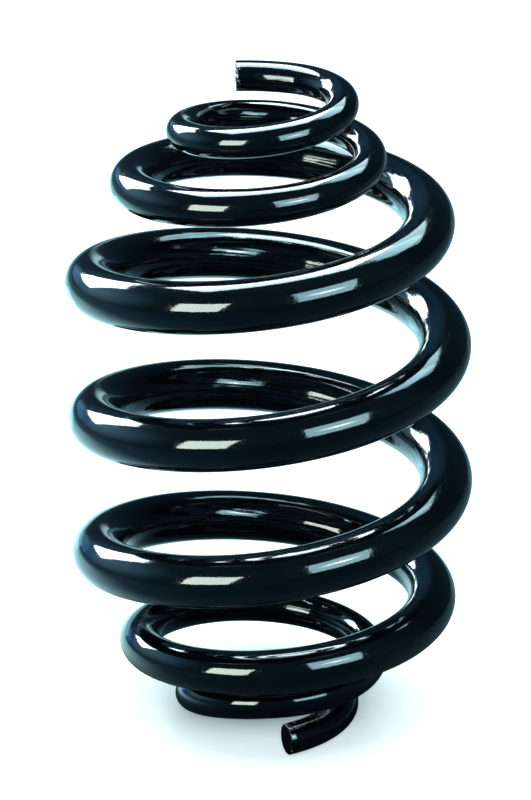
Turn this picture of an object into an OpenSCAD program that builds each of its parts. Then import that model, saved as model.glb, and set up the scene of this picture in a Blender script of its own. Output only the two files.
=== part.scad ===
// Barrel compression spring, wound from one round bar that is thinner towards both ends.
// Each end draws in to a small coil, so that the turns can nest when the spring is pressed flat.
// The barrel's axis is the Z axis, and the lowest coil lies flat on the plane Z = 0.
// Everything along the bar is a function of t, the turns counted from the lower cut end.

/* [Whole spring] */
// Height of the unloaded spring
free_height = 232; // [200:1:280]
// Turns from the lower cut end to the upper cut end
turns = 7.53; // [6.5:0.01:9]
// Direction of the lower cut end seen from above, in degrees
start_angle = -82; // [-180:1:180]

/* [Bar] */
// Diameter of the bar in the wide coils
body_bar_d = 18.2; // [14:0.1:20]
// Diameter of the bar at the lower cut end
low_bar_d = 11.1; // [8:0.1:13]
// Diameter of the bar at the upper cut end
top_bar_d = 10.8; // [8:0.1:13]
// Turns at the lower end in which the bar keeps its end diameter
low_thin_turns = 0.95; // [0.6:0.05:1.2]
// Turns over which the bar thickens above the lower end
low_taper_turns = 1.8; // [1:0.05:2]
// Turns at the upper end in which the bar keeps its end diameter
top_thin_turns = 1.1; // [0.6:0.05:1.3]
// Turns over which the bar thins below the upper end
top_taper_turns = 1.4; // [1:0.05:2]
// Bevel around both cut ends
end_bevel = 0.6; // [0.2:0.1:1.5]

/* [Coil diameters] */
// Outer diameter of the wide coils
body_od = 140; // [120:1:170]
// Outer diameter of the small lower coil
low_coil_od = 62.5; // [56:0.5:80]
// Turns that stay small at the lower end
low_small_turns = 0.4; // [0.2:0.05:0.8]
// Turns over which the coil opens out above the lower end
low_open_turns = 2.4; // [1.8:0.05:2.6]
// Outer diameter of the small upper coil
top_coil_od = 64.5; // [56:0.5:80]
// Turns that stay small at the upper end
top_small_turns = 0.5; // [0.2:0.05:0.8]
// Turns over which the coil draws in below the upper end
top_close_turns = 2.4; // [1.8:0.05:2.8]

/* [Lower end] */
// Part of the first turn that lies flat
seat_turns = 0.55; // [0.5:0.01:0.7]
// Clear gap between the lower tail and the turn that passes over it
tail_gap = 0.75; // [0.5:0.05:4]
// How far the lower cut end stands out from its coil
low_tail_flare = 11.5; // [0:0.5:14]
// Part of a turn over which the lower tail stands out
low_tail_turns = 0.26; // [0.14:0.02:0.3]
// How far the small lower coil is off the barrel's axis, towards -X
low_shift = 2.2; // [0:0.1:4]

/* [Upper end] */
// How far the upper cut end stands out from its coil
top_tail_flare = 3.5; // [0:0.5:6]
// Part of a turn over which the upper tail stands out
top_tail_turns = 0.11; // [0.1:0.01:0.3]
// Part of the last turn over which the bar comes level
top_level_turns = 0.45; // [0.2:0.05:0.6]

/* [Coil spacing] */
// Clear rise between the small lower coils
low_gap = 13; // [8:0.5:18]
// Turns from the seat until the small lower coils have their full rise
low_rise_turns = 1.1; // [0.8:0.05:1.4]
// Turns below the point where the rise grows to that of the wide coils
body_from_turns = 2.2; // [1.8:0.05:2.4]
// Turns over which the rise grows to that of the wide coils
body_rise_turns = 0.4; // [0.3:0.05:1]
// Clear rise between the small upper coils
top_gap = 7.75; // [5:0.25:10]
// Turns at the upper end that keep that rise
top_flat_turns = 1.55; // [1.2:0.05:1.8]
// Turns over which the rise falls from that of the wide coils
top_rise_turns = 1.45; // [1:0.05:1.8]

/* [Surface] */
// Sides of the bar's round section
bar_sides = 20; // [12:2:24]
// Rings of points in each turn
rings_per_turn = 36; // [24:2:40]

/* [Hidden] */

body_r = (body_od - body_bar_d) / 2;
low_r = (low_coil_od - low_bar_d) / 2;
top_r = (top_coil_od - top_bar_d) / 2;

low_pitch = low_bar_d + low_gap;
top_pitch = top_bar_d + top_gap;

// Turns at which each change along the bar starts and ends
low_open = [low_small_turns, low_small_turns + low_open_turns];
top_close = [turns - top_small_turns - top_close_turns, turns - top_small_turns];
low_taper = [low_thin_turns, low_thin_turns + low_taper_turns];
top_taper = [turns - top_thin_turns - top_taper_turns, turns - top_thin_turns];
low_rise = [seat_turns, seat_turns + low_rise_turns];
body_rise = [body_from_turns, body_from_turns + body_rise_turns];
top_rise = [turns - top_flat_turns - top_rise_turns, turns - top_flat_turns];
top_level = [turns - top_level_turns, turns];

// Climb that takes the first turn over the tail, beyond what the lower rise gives it
climb = low_bar_d + tail_gap - low_pitch * run(1, low_rise);

// Rise of the wide coils in one turn, which is what the free height leaves for them
body_pitch = (free_height - (low_bar_d + top_bar_d) / 2 - climb
        - low_pitch * (run(turns, low_rise) - run(turns, body_rise))
        - top_pitch * (run(turns, top_rise) - run(turns, top_level)))
    / (run(turns, body_rise) - run(turns, top_rise));

// Share of a span that t has passed, from 0 before it to 1 after it
function share(t, span) = min(max((t - span[0]) / (span[1] - span[0]), 0), 1);

// Smooth step from 0 to 1 over a span
function ease(t, span) = let (s = share(t, span)) s * s * (3 - 2 * s);

// Area under that smooth step from the start of the bar up to t
function run(t, span) =
    let (s = share(t, span))
    (span[1] - span[0]) * (pow(s, 3) - pow(s, 4) / 2) + max(t - span[1], 0);

// Radius of the bar itself
function bar_r(t) =
    (low_bar_d + (body_bar_d - low_bar_d) * ease(t, low_taper)
        - (body_bar_d - top_bar_d) * ease(t, top_taper)) / 2;

// How far a tail stands out from its coil, at a number of turns from its cut end
function tail(from_end, flare, tail_turns) = flare * pow(1 - share(from_end, [0, tail_turns]), 2);

// Distance from the coil's own centre to the bar's centre line
function coil_r(t) =
    low_r + (body_r - low_r) * ease(t, low_open) - (body_r - top_r) * ease(t, top_close)
    + tail(t, low_tail_flare, low_tail_turns)
    + tail(turns - t, top_tail_flare, top_tail_turns);

// Height of the bar's centre line
function height(t) =
    low_bar_d / 2 + climb * ease(t, [seat_turns, 1])
    + low_pitch * run(t, low_rise)
    + (body_pitch - low_pitch) * run(t, body_rise)
    - (body_pitch - top_pitch) * run(t, top_rise)
    - top_pitch * run(t, top_level);

function outward(t) = let (a = start_angle + 360 * t) [cos(a), sin(a), 0];

function unit(v) = v / norm(v);

// Point of the bar's centre line
function centre(t) =
    coil_r(t) * outward(t) + [-low_shift * (1 - ease(t, low_open)), 0, height(t)];

// Direction of the bar, from two points a small step apart
small_step = 0.001;
function along(t) = unit(centre(t + small_step) - centre(t - small_step));

// Ring of points square to the bar, with radius r, moved by shift along the bar
function ring(t, r, shift = 0) =
    let (
        d = along(t),
        up = unit(cross(outward(t), d)),
        out = cross(d, up)
    )
    [for (i = [0 : bar_sides - 1])
        let (a = 360 * i / bar_sides)
        centre(t) + d * shift + r * (cos(a) * out + sin(a) * up)];

module coil_spring() {
    steps = round(turns * rings_per_turn);
    rings = concat(
        [ring(0, bar_r(0) - end_bevel)],
        [for (k = [0 : steps]) let (t = turns * k / steps)
            ring(t, bar_r(t), k == 0 ? end_bevel : k == steps ? -end_bevel : 0)],
        [ring(turns, bar_r(turns) - end_bevel)]
    );
    last = len(rings) - 1;
    sides = [for (k = [0 : last - 1]) for (i = [0 : bar_sides - 1])
        let (j = (i + 1) % bar_sides)
        [k * bar_sides + i, k * bar_sides + j, (k + 1) * bar_sides + j, (k + 1) * bar_sides + i]];
    start_cap = [for (i = [bar_sides - 1 : -1 : 0]) i];
    end_cap = [for (i = [0 : bar_sides - 1]) last * bar_sides + i];
    color("#050b10")
        polyhedron(
            points = [for (r = rings) each r],
            faces = concat([start_cap], sides, [end_cap]),
            convexity = 20
        );
}

coil_spring();
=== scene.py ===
import math

import bpy
import numpy as np
from mathutils import Matrix, Vector


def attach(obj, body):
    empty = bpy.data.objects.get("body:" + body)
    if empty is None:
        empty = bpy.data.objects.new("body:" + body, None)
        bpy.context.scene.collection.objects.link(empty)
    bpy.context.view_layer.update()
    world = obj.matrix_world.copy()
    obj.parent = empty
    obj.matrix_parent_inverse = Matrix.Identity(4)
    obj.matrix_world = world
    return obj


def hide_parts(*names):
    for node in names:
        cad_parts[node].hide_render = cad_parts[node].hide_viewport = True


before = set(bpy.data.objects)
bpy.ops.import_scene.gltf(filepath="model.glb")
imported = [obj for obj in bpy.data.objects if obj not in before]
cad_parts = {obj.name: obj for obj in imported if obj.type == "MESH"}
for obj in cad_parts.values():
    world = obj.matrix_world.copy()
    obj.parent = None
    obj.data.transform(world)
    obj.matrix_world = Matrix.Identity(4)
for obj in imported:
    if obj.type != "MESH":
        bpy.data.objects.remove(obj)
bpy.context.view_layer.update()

# Sizes of the spring in millimetres, turns and degrees, with the names and values of the CAD source
FREE_HEIGHT = 232.0
TURNS = 7.53
START_ANGLE = -82.0
BODY_BAR_D = 18.2
LOW_BAR_D = 11.1
TOP_BAR_D = 10.8
LOW_THIN_TURNS = 0.95
LOW_TAPER_TURNS = 1.8
TOP_THIN_TURNS = 1.1
TOP_TAPER_TURNS = 1.4
END_BEVEL = 0.6
BODY_OD = 140.0
LOW_COIL_OD = 62.5
LOW_SMALL_TURNS = 0.4
LOW_OPEN_TURNS = 2.4
TOP_COIL_OD = 64.5
TOP_SMALL_TURNS = 0.5
TOP_CLOSE_TURNS = 2.4
SEAT_TURNS = 0.55
TAIL_GAP = 0.75
LOW_TAIL_FLARE = 11.5
LOW_TAIL_TURNS = 0.26
LOW_SHIFT = 2.2
TOP_TAIL_FLARE = 3.5
TOP_TAIL_TURNS = 0.11
TOP_LEVEL_TURNS = 0.45
LOW_GAP = 13.0
LOW_RISE_TURNS = 1.1
BODY_FROM_TURNS = 2.2
BODY_RISE_TURNS = 0.4
TOP_GAP = 7.75
TOP_FLAT_TURNS = 1.55
TOP_RISE_TURNS = 1.45

# Turns at which each change along the bar starts and ends
LOW_OPEN = (LOW_SMALL_TURNS, LOW_SMALL_TURNS + LOW_OPEN_TURNS)
TOP_CLOSE = (TURNS - TOP_SMALL_TURNS - TOP_CLOSE_TURNS, TURNS - TOP_SMALL_TURNS)
LOW_TAPER = (LOW_THIN_TURNS, LOW_THIN_TURNS + LOW_TAPER_TURNS)
TOP_TAPER = (TURNS - TOP_THIN_TURNS - TOP_TAPER_TURNS, TURNS - TOP_THIN_TURNS)
LOW_RISE = (SEAT_TURNS, SEAT_TURNS + LOW_RISE_TURNS)
BODY_RISE = (BODY_FROM_TURNS, BODY_FROM_TURNS + BODY_RISE_TURNS)
TOP_RISE = (TURNS - TOP_FLAT_TURNS - TOP_RISE_TURNS, TURNS - TOP_FLAT_TURNS)
TOP_LEVEL = (TURNS - TOP_LEVEL_TURNS, TURNS)

# The finer sweep
MM = 0.001
SIDES = 64            # points round the bar
RINGS_PER_TURN = 104  # rings of points in each turn
SMALL_STEP = 0.0001   # turns between the points that give the bar's direction

# The finish of the cut ends, in millimetres
CUT_SKEW = 1.4        # how far the inner side of the lower cut lies behind its outer side
BURR = 0.7            # the most that the rim of the upper cut can wander, from one extreme to the other
WANDER_SEED = 7
MIDDLE_DEPTH = 0.1    # how far the middle of a cut face lies inside the end of the bar
FACE_DISH = ((0.25, 0.10), (0.5, 0.08), (0.75, 0.05), (0.88, 0.03))  # share of the bar's radius, depth
LIP_START = 0.95 * END_BEVEL  # from the side of the bar to where the lip starts
LIP_TOP = 0.75 * END_BEVEL    # from the side of the bar to the top of the lip
LIP_HEIGHT = 0.02
ROUNDING = 0.8 * END_BEVEL    # radius of the rounded edge
ROUNDING_ANGLES = (20, 45, 70)

# The worn flat on top of the lower tail, and the scuffs on it, in millimetres
FLAT_DEPTH = 0.45
FLAT_FADE = (14.0, 24.0)  # lengths along the bar between which the flat runs out
FLAT_LEAST = 0.1          # depth from which the edges of the flat are rubbed and painted with a pale glint
FLAT_EDGE = 0.16          # height of the rubbed strip along each edge, painted pale as a glint
SCUFF_LENGTH = 30.0       # length along the bar in which the coil above rubs on the lower tail
SCUFF_DEPTH = 0.5         # how far the scuffs reach down from the top of the bar

# How much of the paint is rubbed off and painted pale as a glint: at about 0.7 some of it, and at the most
# nearly all of it
RIM_PLACE = 0.93     # share of the bar's radius at which a cut end is rubbed most
RIM_INSIDE = 0.08    # share of the radius over which that fades inwards
RIM_OUTSIDE = 0.25   # share of the radius over which it would fade outwards
NEXT_RING_WEAR = 0.5
LOW_RIM_SHARE = 0.75  # the lower rim is rubbed less than the upper one
SCUFF_WEAR = 0.60
OUTER_EDGE_WEAR_AND_GLINT = 1.15
INNER_EDGE_WEAR_AND_GLINT = 1.3
MOST_WEAR = 1.3

# Colours, in linear light
BLACK = (0, 0, 0, 1)
WHITE = (1, 1, 1, 1)
PAINT_DARK = (0.0010, 0.0026, 0.0040, 1)
PAINT_PALE = (0.0018, 0.0040, 0.0060, 1)
PAINT_TINT = (0.17, 0.31, 0.38, 1)     # of what the paint reflects
# bare metal where the paint is rubbed off, made pale enough to stand as painted glints on the cut rims and
# the edges of the worn flat
BARE_METAL_AND_GLINT = (0.80, 0.88, 0.90, 1)
FLOOR_SHADED = (0.90, 0.905, 0.91, 1)  # away from the foot of the spring
FLOOR_FOOT_SHADE = (0.73, 0.89, 0.92, 1)     # painted shade: a blue-green tint, a little darker, at the foot of the spring
FLOOR_SEEN = (0.54, 0.617, 0.615, 1)   # light of its own for the camera, white together with the lamps'
POOL_PAINT = (0.40, 0.88, 0.93, 1)     # paint of the pool of light that mirror reflections see
POOL_LEFT = (0.62, 1.05, 1.12, 1)      # light of its own in the left part of that pool
POOL_RIGHT = (0.82, 1.14, 1.18, 1)     # and in its right part
DIM_RIGHT = (0.12, 0.20, 0.24, 1)      # floor outside that pool
DIM_LEFT = (0.24, 0.50, 0.62, 1)
TUBE_COLOUR = (1.8, 1.1, 0.95, 1)      # of the tube behind a lamp's cloth
ROOM = (0.19, 0.28, 0.34, 1)
BACKGROUND = (0.93, 0.94, 0.95, 1)

# Places in metres, and the share of a distance from there that is counted along x, y and z
SPRING_MIDDLE = (0, 0, 0.12)
FLOOR_MIDDLE = (0, 0, 0)
FLOOR_SIZE = 40
FOOT = (-0.003, 0.0226, 0)             # middle of the painted shadow at the foot of the spring
FOOT_SCALE = (1.02, 0.98, 1)
POOL = (-0.05, 0.55, 0)                # middle of the pool of light
POOL_SCALE = (1 / 0.44, 1 / 0.56, 1)   # 1 over half its width and half its depth

# What mirror reflections see in the room: direction, cosines at which the patch starts and is full, colour
ROOM_PATCHES = (
    ((0.50, 0.85, 0.17), (0.2, 0.85), (0.020, 0.050, 0.078, 1)),          # dark corner at the back right
    ((-0.394, 0.682, 0.616), (0.84, 0.975), (0.07, 0.23, 0.38, 1)),       # navy wall high at the back left
    ((-0.60, 0.80, 0.02), (0.950, 0.982), (0.04, 0.26, 0.75, 1)),         # blue low at the back left
    ((-0.469, 0.883, 0.01), (0.970, 0.990), (0.22, 0.62, 1.10, 1)),       # pale blue beside it
    ((0.052, 0.998, -0.02), (0.9905, 0.9970), (0.85, 1.40, 1.45, 1)),     # bright spot straight behind
)

# The camera of the photograph, in degrees and metres
ELEVATION = 19.942
CAMERA_ROLL = 1.055
CAMERA_DISTANCE = 2.1253
AIM_HEIGHT = 0.11906
AIM_RIGHT = -0.001493
AIM_UP = -0.001150
SENSOR = 36.0            # millimetres along the picture's long side
FOCAL_PIXELS = 6132.0    # focal length in pixels of the photograph
PHOTO_HEIGHT = 800.0     # pixels
FARTHEST = 100           # how far the camera sees


def share(t, start, end):
    """Share of a span that t has passed, from 0 before it to 1 after it."""
    return np.clip((t - start) / (end - start), 0, 1)


def ease(t, start, end):
    """Smooth step from 0 to 1 over a span."""
    s = share(t, start, end)
    return s * s * (3 - 2 * s)


def run(t, start, end):
    """Area under that smooth step from the start of the bar up to t."""
    s = share(t, start, end)
    return (end - start) * (s ** 3 - s ** 4 / 2) + np.maximum(t - end, 0)


def tail(from_end, flare, tail_turns):
    """How far a tail stands out from its coil, at a number of turns from its cut end."""
    return flare * (1 - share(from_end, 0, tail_turns)) ** 2


def bar_radius(t):
    """Radius of the bar itself, at t turns from the lower cut end."""
    thicker = (BODY_BAR_D - LOW_BAR_D) * ease(t, *LOW_TAPER)
    thinner = (BODY_BAR_D - TOP_BAR_D) * ease(t, *TOP_TAPER)
    return (LOW_BAR_D + thicker - thinner) / 2


def coil_radius(t):
    """Distance from the coil's own centre to the bar's centre line."""
    low_r = (LOW_COIL_OD - LOW_BAR_D) / 2
    body_r = (BODY_OD - BODY_BAR_D) / 2
    top_r = (TOP_COIL_OD - TOP_BAR_D) / 2
    coil = low_r + (body_r - low_r) * ease(t, *LOW_OPEN) - (body_r - top_r) * ease(t, *TOP_CLOSE)
    low_tail = tail(t, LOW_TAIL_FLARE, LOW_TAIL_TURNS)
    top_tail = tail(TURNS - t, TOP_TAIL_FLARE, TOP_TAIL_TURNS)
    return coil + low_tail + top_tail


def height(t):
    """Height of the bar's centre line."""
    low_pitch = LOW_BAR_D + LOW_GAP
    top_pitch = TOP_BAR_D + TOP_GAP
    # climb that takes the first turn over the tail, beyond what the lower rise gives it
    climb = LOW_BAR_D + TAIL_GAP - low_pitch * run(1.0, *LOW_RISE)
    # the wide coils share what the free height leaves for them
    left_over = (FREE_HEIGHT - (LOW_BAR_D + TOP_BAR_D) / 2 - climb
                 - low_pitch * (run(TURNS, *LOW_RISE) - run(TURNS, *BODY_RISE))
                 - top_pitch * (run(TURNS, *TOP_RISE) - run(TURNS, *TOP_LEVEL)))
    body_pitch = left_over / (run(TURNS, *BODY_RISE) - run(TURNS, *TOP_RISE))
    return (LOW_BAR_D / 2 + climb * ease(t, SEAT_TURNS, 1) + low_pitch * run(t, *LOW_RISE)
            + (body_pitch - low_pitch) * run(t, *BODY_RISE)
            - (body_pitch - top_pitch) * run(t, *TOP_RISE)
            - top_pitch * run(t, *TOP_LEVEL))


def outward(t):
    """Level direction from the coil's centre towards the bar."""
    angle = np.radians(START_ANGLE + 360 * t)
    return np.stack([np.cos(angle), np.sin(angle), np.zeros_like(angle)], -1)


def centre(t):
    """Points of the bar's centre line."""
    points = coil_radius(t)[:, None] * outward(t)
    points[:, 0] -= LOW_SHIFT * (1 - ease(t, *LOW_OPEN))
    points[:, 2] = height(t)
    return points


def unit(vectors):
    return vectors / np.linalg.norm(vectors, axis=-1, keepdims=True)


def rim_wander():
    """A random wander round a cut end, smoothed over three points, within 0.5 either way."""
    draws = np.random.default_rng(WANDER_SEED).uniform(0, 1, SIDES)
    return (np.roll(draws, 1) + draws + np.roll(draws, -1)) / 3 - 0.5


def cut_end(sample, bar_r, wander, inward):
    """Rings of a sawn end from its middle outwards: a slightly dished face, a low lip and a rounded edge.

    Each ring is the sample of the bar that it sits on, its radius and its shift along the bar. Inward is 1
    at the lower end and -1 at the upper end, where the rim is ragged.
    """
    ragged = BURR * wander * (inward < 0)
    rings = []
    for part, depth in FACE_DISH:
        rings.append((sample, bar_r * part, inward * depth * (1 + wander / 2)))
    rings.append((sample, bar_r - LIP_START, inward * LIP_HEIGHT + ragged))
    rings.append((sample, bar_r - LIP_TOP, inward * LIP_HEIGHT * (0.5 - wander) + ragged))
    for degrees in ROUNDING_ANGLES:
        angle = math.radians(degrees)
        depth = ROUNDING * (1 - math.cos(angle))
        rings.append((sample, bar_r - ROUNDING * (1 - math.sin(angle)), inward * depth + ragged))
    return rings


def bar_rings(bar_r):
    """All rings of the bar as three arrays: sample of the bar, radius, and shift along the bar."""
    wander = rim_wander()
    last = len(bar_r) - 1
    rings = cut_end(0, bar_r[0], wander, 1)
    rings += [(k, bar_r[k], 0.0) for k in range(1, last)]
    rings += reversed(cut_end(last, bar_r[last], wander, -1))
    sample = np.array([k for k, radius, shift in rings])
    radii = np.array([[radius] * SIDES for k, radius, shift in rings])
    shifts = np.array([shift + np.zeros(SIDES) for k, radius, shift in rings])
    return sample, radii, shifts


def cut_wear_and_glint(part, sample, last):
    """Wear on the rims of both cut ends, with pale painted glints on them. Part is a point's share of the
    bar's radius.
    """
    inside = 1 - (RIM_PLACE - part) / RIM_INSIDE
    outside = 1 - (part - RIM_PLACE) / RIM_OUTSIDE
    on_face = np.where(part < RIM_PLACE, inside, outside)
    from_end = np.minimum(sample, last - sample)[:, None]
    wear = np.where(from_end == 0, on_face, NEXT_RING_WEAR * (from_end == 1))
    return wear * np.where(sample[:, None] < last / 2, LOW_RIM_SHARE, 1.0)


def bar_samples():
    """The bar at each step along it: its middle, three directions square to each other, radius and length."""
    t = np.linspace(0, TURNS, int(TURNS * RINGS_PER_TURN) + 1)
    middle = centre(t)
    along = unit(centre(np.minimum(t + SMALL_STEP, TURNS)) - centre(np.maximum(t - SMALL_STEP, 0)))
    up = unit(np.cross(outward(t), along))
    out = np.cross(along, up)
    steps = np.linalg.norm(np.diff(middle, axis=0), axis=1)
    length = np.concatenate([[0], np.cumsum(steps)])
    return middle, along, out, up, bar_radius(t), length


def sweep():
    """Points, their places on the straightened bar, and the wear of the paint there, with its painted glints.
    """
    middle, along, out, up, bar_r, length = bar_samples()
    sample, radii, shifts = bar_rings(bar_r)
    round_bar = np.linspace(0, 2 * np.pi, SIDES, endpoint=False)
    part = radii / bar_r[sample, None]
    # the lower end was cut a little out of square
    skew = CUT_SKEW * (1 - part * np.cos(round_bar)) / 2
    shifts = shifts + skew * (sample[:, None] == 0)
    outwards = radii * np.cos(round_bar)
    upwards = radii * np.sin(round_bar)
    points = (middle[sample, None] + along[sample, None] * shifts[..., None]
              + out[sample, None] * outwards[..., None] + up[sample, None] * upwards[..., None])

    # the lower tail is worn flat on top, where the turn above it lands
    flat = FLAT_DEPTH * (1 - ease(length[sample], *FLAT_FADE))
    highest = (middle[sample, 2] + bar_r[sample] - flat)[:, None]
    on_edge = (np.abs(points[..., 2] - highest) < FLAT_EDGE) & (flat[:, None] > FLAT_LEAST)
    points[..., 2] = np.minimum(points[..., 2], highest)
    scuffed = (points[..., 2] > highest - SCUFF_DEPTH) & (length[sample, None] < SCUFF_LENGTH)
    # the rubbed strips along the edges of the flat also carry painted glints of the sharp edges
    edge_wear_and_glint = np.where(np.cos(round_bar) > 0, OUTER_EDGE_WEAR_AND_GLINT, INNER_EDGE_WEAR_AND_GLINT) * on_edge
    wear_and_glint = cut_wear_and_glint(part, sample, len(bar_r) - 1)
    wear = np.maximum(wear_and_glint, np.maximum(SCUFF_WEAR * scuffed, edge_wear_and_glint))

    # the middle of each cut end comes after the rings
    ends = [middle[0] + MIDDLE_DEPTH * along[0], middle[-1] - MIDDLE_DEPTH * along[-1]]
    places = np.stack([length[sample, None] + shifts, outwards, upwards], -1).reshape(-1, 3)
    return (np.concatenate([points.reshape(-1, 3), ends]),
            np.concatenate([places, [[0, 0, 0], [length[-1], 0, 0]]]),
            np.concatenate([np.clip(wear, 0, MOST_WEAR).ravel(), [0, 0]]))


def ring_faces(rings):
    """Faces between neighbouring rings, and a fan round the middle of each cut end. All look outwards."""
    ring, side = np.meshgrid(np.arange(rings - 1), np.arange(SIDES), indexing="ij")
    here = ring * SIDES + side
    beside = ring * SIDES + (side + 1) % SIDES
    walls = np.stack([here, here + SIDES, beside + SIDES, beside], -1).reshape(-1, 4)
    low_middle = rings * SIDES
    top_middle = low_middle + 1
    top_ring = low_middle - SIDES
    neighbours = [(k, (k + 1) % SIDES) for k in range(SIDES)]
    low_fan = [(low_middle, a, b) for a, b in neighbours]
    top_fan = [(top_middle, top_ring + b, top_ring + a) for a, b in neighbours]
    return walls.tolist() + low_fan + top_fan


def store(mesh, name, kind, field, values):
    """Keeps a value for each point of the mesh, which the paint reads by its name."""
    attribute = mesh.attributes.new(name, kind, "POINT")
    attribute.data.foreach_set(field, values.astype(np.float32).ravel())


def make_spring():
    points, places, wear = sweep()
    mesh = bpy.data.meshes.new("spring_bar")
    mesh.from_pydata((points * MM).tolist(), [], ring_faces((len(points) - 2) // SIDES))
    mesh.polygons.foreach_set("use_smooth", [True] * len(mesh.polygons))
    store(mesh, "bar_pos", "FLOAT_VECTOR", "vector", places * MM)
    store(mesh, "wear_and_glint", "FLOAT", "value", wear)
    mesh.update()
    obj = bpy.data.objects.new("spring_bar", mesh)
    bpy.context.scene.collection.objects.link(obj)
    return obj


class Nodes:
    """Adds the nodes of one tree. Each value is a number, a colour or what another node gives."""

    def __init__(self, tree):
        self.tree = tree

    def add(self, kind, inputs=None, **settings):
        node = self.tree.nodes.new(kind)
        for name, setting in settings.items():
            setattr(node, name, setting)
        for socket, value in (inputs or {}).items():
            if hasattr(value, "is_output"):
                self.tree.links.new(value, node.inputs[socket])
            else:
                node.inputs[socket].default_value = value
        return node

    def link(self, value, node, socket):
        self.tree.links.new(value, node.inputs[socket])

    def math(self, operation, *values):
        return self.add("ShaderNodeMath", dict(enumerate(values)), operation=operation).outputs[0]

    def product(self, a, b):
        return self.math("MULTIPLY", a, b)

    def largest(self, a, b):
        return self.math("MAXIMUM", a, b)

    def rest(self, value):
        return self.math("SUBTRACT", 1.0, value)

    def span(self, value, start, end, low=0.0, high=1.0, kind="LINEAR"):
        """Low at start and before it, high at end and after it."""
        inputs = {0: value, 1: start, 2: end, 3: low, 4: high}
        return self.add("ShaderNodeMapRange", inputs, interpolation_type=kind).outputs[0]

    def fade(self, value, start, end):
        """A smooth fall from 1 at start to 0 at end."""
        return self.span(value, start, end, low=1.0, high=0.0, kind="SMOOTHSTEP")

    def mix(self, part, below, above):
        return self.add("ShaderNodeMix", {0: part, 6: below, 7: above}, data_type="RGBA").outputs[2]

    def vector(self, operation, *values):
        return self.add("ShaderNodeVectorMath", dict(enumerate(values)), operation=operation)

    def noise(self, place, scale, detail, roughness):
        inputs = {"Vector": place, "Scale": scale, "Detail": detail, "Roughness": roughness}
        return self.add("ShaderNodeTexNoise", inputs).outputs["Fac"]

    def axes(self, value):
        return self.add("ShaderNodeSeparateXYZ", {0: value}).outputs


def new_material(name):
    mat = bpy.data.materials.new(name)
    mat.use_nodes = True
    return mat, Nodes(mat.node_tree), mat.node_tree.nodes["Principled BSDF"]


def paint_colour(n, place):
    """Near-black with a blue-green cast, a little uneven, and rubbed off in chips where it is worn, the bare
    chips pale enough to be painted glints on edges and rims.
    """
    cloud = n.noise(place, scale=60, detail=4, roughness=0.6)
    paint = n.mix(n.span(cloud, start=0.3, end=0.7), PAINT_DARK, PAINT_PALE)
    wear = n.add("ShaderNodeAttribute", attribute_name="wear_and_glint").outputs["Fac"]
    chips = n.noise(place, scale=800, detail=3, roughness=0.6)
    # rubbed chips show bare metal, pale enough to be painted glints
    rubbed = n.span(n.product(wear, chips), start=0.34, end=0.50)
    return n.mix(rubbed, paint, BARE_METAL_AND_GLINT)


def paint_roughness(n, place):
    """Glossy, with duller patches and fine specks."""
    patches = n.noise(place, scale=140, detail=6, roughness=0.65)
    gloss = n.span(patches, start=0.35, end=0.75, low=0.035, high=0.08)
    grit = n.noise(place, scale=1700, detail=1, roughness=0.5)
    specks = n.span(grit, start=0.58, end=0.75, low=0.0, high=0.16)
    return n.math("ADD", gloss, specks)


def paint_bumps(n, place):
    """Streaks of the drawn bar, mostly on the inner side of the coil, and orange peel over them."""
    bar = n.add("ShaderNodeAttribute", attribute_name="bar_pos").outputs["Vector"]
    stretched = n.add("ShaderNodeMapping", {"Vector": bar, "Scale": (0.06, 1, 1)}).outputs[0]
    streaks = n.noise(stretched, scale=1000, detail=1, roughness=0.5)
    inner = n.span(n.axes(bar)["Y"], start=0.001, end=-0.004, low=0.12, high=1.0)
    drawn = n.add("ShaderNodeBump", {"Strength": inner, "Distance": 0.00007, "Height": streaks}).outputs[0]
    peel = n.noise(place, scale=900, detail=2, roughness=0.5)
    inputs = {"Strength": 0.45, "Distance": 0.00003, "Height": peel, "Normal": drawn}
    return n.add("ShaderNodeBump", inputs).outputs[0]


def gloss_paint():
    mat, n, shader = new_material("gloss_paint_detail")
    place = n.add("ShaderNodeTexCoord").outputs["Object"]
    n.link(paint_colour(n, place), shader, "Base Color")
    n.link(paint_roughness(n, place), shader, "Roughness")
    n.link(paint_bumps(n, place), shader, "Normal")
    shader.inputs["IOR"].default_value = 1.5
    shader.inputs["Specular Tint"].default_value = PAINT_TINT
    return mat


def floor_distance(n, place, middle, scale):
    """Distance from a point on the floor, with a share of it counted along each axis."""
    offset = n.vector("SUBTRACT", place, middle).outputs[0]
    scaled = n.vector("MULTIPLY", offset, scale).outputs[0]
    return n.vector("LENGTH", scaled).outputs["Value"]


def light_pool(n, place, x, y):
    """1 in a round pool of light behind the spring to the left, and 0 outside it."""
    round_pool = n.fade(floor_distance(n, place, POOL, POOL_SCALE), start=0.86, end=1.18)
    on_left = n.fade(x, start=-0.05, end=0.07)
    behind = n.fade(n.product(y, -1.0), start=0.0, end=0.07)
    return n.product(round_pool, n.product(on_left, behind))


def dim_floor(n, x, y):
    """Floor outside the pool: bluer to the left and beside the pool, and darker in front and far behind."""
    slant = n.math("SUBTRACT", x, n.product(y, 0.7))
    beside = n.product(n.fade(slant, start=-0.03, end=0.08), n.span(y, start=0.03, end=0.10, high=0.8))
    to_left = n.largest(n.fade(x, start=-0.30, end=0.06), beside)
    blue = n.product(to_left, n.span(y, start=-0.30, end=-0.10, low=0.35))
    return n.mix(n.span(y, start=0.10, end=0.60, high=0.40), n.mix(blue, DIM_RIGHT, DIM_LEFT), BLACK)


def pool_light(n, x, y):
    """Light of the pool: paler to the right, and dimmer far behind."""
    pale = n.mix(n.span(x, start=-0.36, end=-0.12), POOL_LEFT, POOL_RIGHT)
    return n.mix(n.span(y, start=0.22, end=0.50, high=0.75), pale, BLACK)


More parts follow.
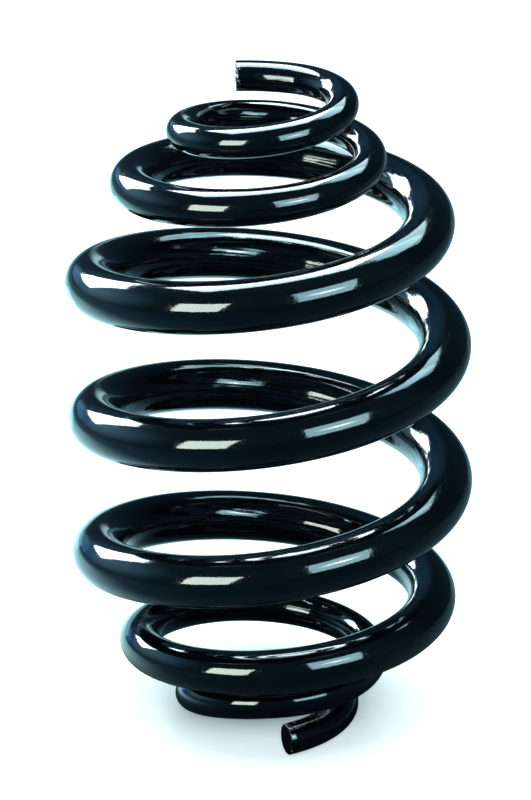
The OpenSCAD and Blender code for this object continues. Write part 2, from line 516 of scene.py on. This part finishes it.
def floor_paint():
    """Plain white with the spring's shadow, which is partly painted at its foot. Mirror reflections see a
    pool of light on a dim floor.
    """
    mat, n, shader = new_material("floor_white")
    place = n.add("ShaderNodeTexCoord").outputs["Object"]
    axes = n.axes(place)
    x, y = axes["X"], axes["Y"]
    rays = n.add("ShaderNodeLightPath").outputs
    camera_ray, mirror_ray = rays["Is Camera Ray"], rays["Is Glossy Ray"]
    foot = floor_distance(n, place, FOOT, FOOT_SCALE)
    own_shade = n.fade(foot, start=0.045, end=0.115)
    pool = light_pool(n, place, x, y)

    # paint: mirror reflections see the pool, the dim floor round it and the spring's own shade
    # painted shade: the floor takes a darker blue-green tint at the foot of the spring
    shaded = n.mix(n.fade(foot, start=0.03, end=0.078), FLOOR_SHADED, FLOOR_FOOT_SHADE)
    lit = n.mix(mirror_ray, shaded, POOL_PAINT)
    paint = n.mix(n.largest(pool, n.rest(mirror_ray)), dim_floor(n, x, y), lit)
    n.link(n.mix(n.product(mirror_ray, n.product(own_shade, 0.85)), paint, BLACK), shader, "Base Color")

    # light: white for the camera away from the foot of the spring, fading there as a painted shadow, and the
    # pool for mirror reflections
    # painted shadow: the floor's own light for the camera fades out round the foot of the spring, where the
    # lamps' shadow then shows
    away = n.largest(0.0, n.span(foot, start=-0.0104, end=0.0549, low=-1.43, kind="SMOOTHSTEP"))
    for_mirrors = n.product(n.product(mirror_ray, pool), n.rest(own_shade))
    n.link(n.mix(mirror_ray, FLOOR_SEEN, pool_light(n, x, y)), shader, "Emission Color")
    n.link(n.largest(n.product(camera_ray, away), for_mirrors), shader, "Emission Strength")
    shader.inputs["Roughness"].default_value = 1.0
    shader.inputs["Specular IOR Level"].default_value = 0.0
    return mat


def make_floor():
    bpy.ops.mesh.primitive_plane_add(size=FLOOR_SIZE, location=FLOOR_MIDDLE)
    plane = bpy.context.object
    plane.name = "floor"
    plane.data.materials.append(floor_paint())
    return plane


def soften(lamp, soft, tube):
    """Makes the cloth of a lamp dimmer towards its edges, over a share soft of its sides.

    Where tube isn't 0, a tube behind the cloth shows as a line across the middle, brighter by that much.
    """
    lamp.use_nodes = True
    n = Nodes(lamp.node_tree)
    emission = lamp.node_tree.nodes["Emission"]
    axes = n.axes(n.add("ShaderNodeNewGeometry").outputs["Parametric"])
    from_side, from_top = [n.math("PINGPONG", axes[k], 0.5) for k in (0, 1)]
    level = n.product(n.span(from_side, start=0.0, end=soft, kind="SMOOTHSTEP"),
                      n.span(from_top, start=0.0, end=soft, kind="SMOOTHSTEP"))
    if tube:
        line = n.product(n.span(from_side, start=0.1, end=0.5, kind="SMOOTHSTEP"),
                         n.span(from_top, start=0.40, end=0.5, kind="SMOOTHSTEP"))
        level = n.product(level, n.math("MULTIPLY_ADD", line, tube, 1.0))
        n.link(n.mix(line, WHITE, TUBE_COLOUR), emission, "Color")
    n.link(level, emission, "Strength")


def softbox(name, azimuth, elevation, distance, size, radiance, colour,
            mirror_only=True, roll=0.0, aim=SPRING_MIDDLE, soft=0.0, shift=0.0, tube=0.0):
    """Rectangular lamp that faces the spring. Azimuth 0 is in front and 90 to the right."""
    a, e = math.radians(azimuth), math.radians(elevation)
    back = Vector((math.sin(a) * math.cos(e), -math.cos(a) * math.cos(e), math.sin(e)))
    lamp = bpy.data.lights.new(name, "AREA")
    lamp.shape = "RECTANGLE"
    lamp.size, lamp.size_y = size
    lamp.energy = radiance * math.pi * lamp.size * lamp.size_y
    lamp.color = colour
    if soft:
        soften(lamp, soft, tube)
    obj = bpy.data.objects.new(name, lamp)
    bpy.context.scene.collection.objects.link(obj)
    turn = back.to_track_quat("Z", "Y") @ Matrix.Rotation(math.radians(roll), 3, "Z").to_quaternion()
    obj.location = Vector(aim) + back * distance + turn @ Vector((shift, 0, 0))
    obj.rotation_mode = "QUATERNION"
    obj.rotation_quaternion = turn
    obj.visible_camera = False
    obj.visible_diffuse = not mirror_only
    obj.visible_glossy = mirror_only


def light_studio():
    """Lamps that only mirror reflections see, placed after the photograph, and two that light the floor."""
    softbox("front_right", azimuth=33, elevation=24.5, distance=0.83, size=(0.52, 0.52),
            radiance=31, colour=(1.02, 1.0, 0.90), soft=0.04, tube=3.0)
    softbox("front_left", azimuth=-40.3, elevation=16.8, distance=1.08, size=(0.57, 0.56),
            radiance=57, colour=(1.50, 1.0, 0.73), soft=0.035)
    softbox("back_left", azimuth=-137, elevation=27.2, distance=0.99, size=(0.44, 0.48),
            radiance=38, colour=(0.85, 1.0, 1.05), soft=0.03)
    softbox("overhead", azimuth=166, elevation=73.4, distance=0.41, size=(0.33, 0.235),
            radiance=44, colour=(1.02, 1.0, 0.97), roll=18, soft=0.04, shift=0.07)
    softbox("overhead_end", azimuth=166, elevation=73.4, distance=0.41, size=(0.19, 0.20),
            radiance=9.0, colour=(0.68, 1.0, 1.01), roll=18, soft=0.08, shift=-0.185)
    softbox("overhead_low", azimuth=136, elevation=55.5, distance=0.505, size=(0.34, 0.22),
            radiance=11, colour=(0.72, 1.0, 1.02), soft=0.06)
    softbox("low_board", azimuth=180, elevation=0, distance=0.27, size=(0.19, 0.08),
            radiance=1.1, colour=(0.50, 1.0, 1.18), aim=(-0.14, 0, 0.04), soft=0.1)
    softbox("left_wall", azimuth=-106, elevation=20, distance=0.90, size=(1.55, 0.95),
            radiance=1.9, colour=(0.50, 1.0, 1.30), soft=0.5)
    softbox("sky", azimuth=-150, elevation=80, distance=1.6, size=(3.4, 3.4),
            radiance=1.2, colour=(1.0, 0.985, 0.975), mirror_only=False, aim=FLOOR_MIDDLE)
    softbox("room", azimuth=0, elevation=90, distance=3.0, size=(9.0, 9.0),
            radiance=0.42, colour=(0.86, 1.0, 1.06), mirror_only=False, aim=FLOOR_MIDDLE)


def make_world():
    """A dim blue-green room with a few patches in it, behind a plain pale background."""
    world = bpy.data.worlds.new("studio")
    bpy.context.scene.world = world
    world.use_nodes = True
    n = Nodes(world.node_tree)
    direction = n.add("ShaderNodeTexCoord").outputs["Generated"]
    tone = ROOM
    for towards, (start, full), colour in ROOM_PATCHES:
        cosine = n.vector("DOT_PRODUCT", direction, towards).outputs["Value"]
        tone = n.mix(n.span(cosine, start, full, kind="SMOOTHSTEP"), tone, colour)
    camera_ray = n.add("ShaderNodeLightPath").outputs["Is Camera Ray"]
    n.link(n.mix(camera_ray, tone, BACKGROUND), world.node_tree.nodes["Background"], "Color")


def make_camera():
    """The camera of the photograph, which looks a little past its aim and is turned a little."""
    tilt, roll = math.radians(ELEVATION), math.radians(CAMERA_ROLL)
    right = Vector((1, 0, 0))
    ahead = Vector((0, math.cos(tilt), -math.sin(tilt)))
    upward = Vector((0, math.sin(tilt), math.cos(tilt)))
    eye = Vector((0, 0, AIM_HEIGHT)) - CAMERA_DISTANCE * ahead
    look = (CAMERA_DISTANCE * ahead + AIM_RIGHT * right + AIM_UP * upward).normalized()
    side = right * math.cos(roll) - upward * math.sin(roll)
    side = (side - side.dot(look) * look).normalized()
    top = side.cross(look)
    data = bpy.data.cameras.new("camera")
    data.sensor_width = SENSOR
    data.lens = SENSOR * FOCAL_PIXELS / PHOTO_HEIGHT
    data.clip_end = FARTHEST
    camera = bpy.data.objects.new("camera", data)
    bpy.context.scene.collection.objects.link(camera)
    camera.matrix_world = Matrix((
        (side.x, top.x, -look.x, eye.x),
        (side.y, top.y, -look.y, eye.y),
        (side.z, top.z, -look.z, eye.z),
        (0, 0, 0, 1),
    ))
    bpy.context.scene.camera = camera


spring = make_spring()
spring.data.materials.append(gloss_paint())
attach(spring, "root")
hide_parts("coil_spring")

floor = make_floor()

light_studio()
make_world()
make_camera()
bpy.context.scene.view_settings.view_transform = "Standard"
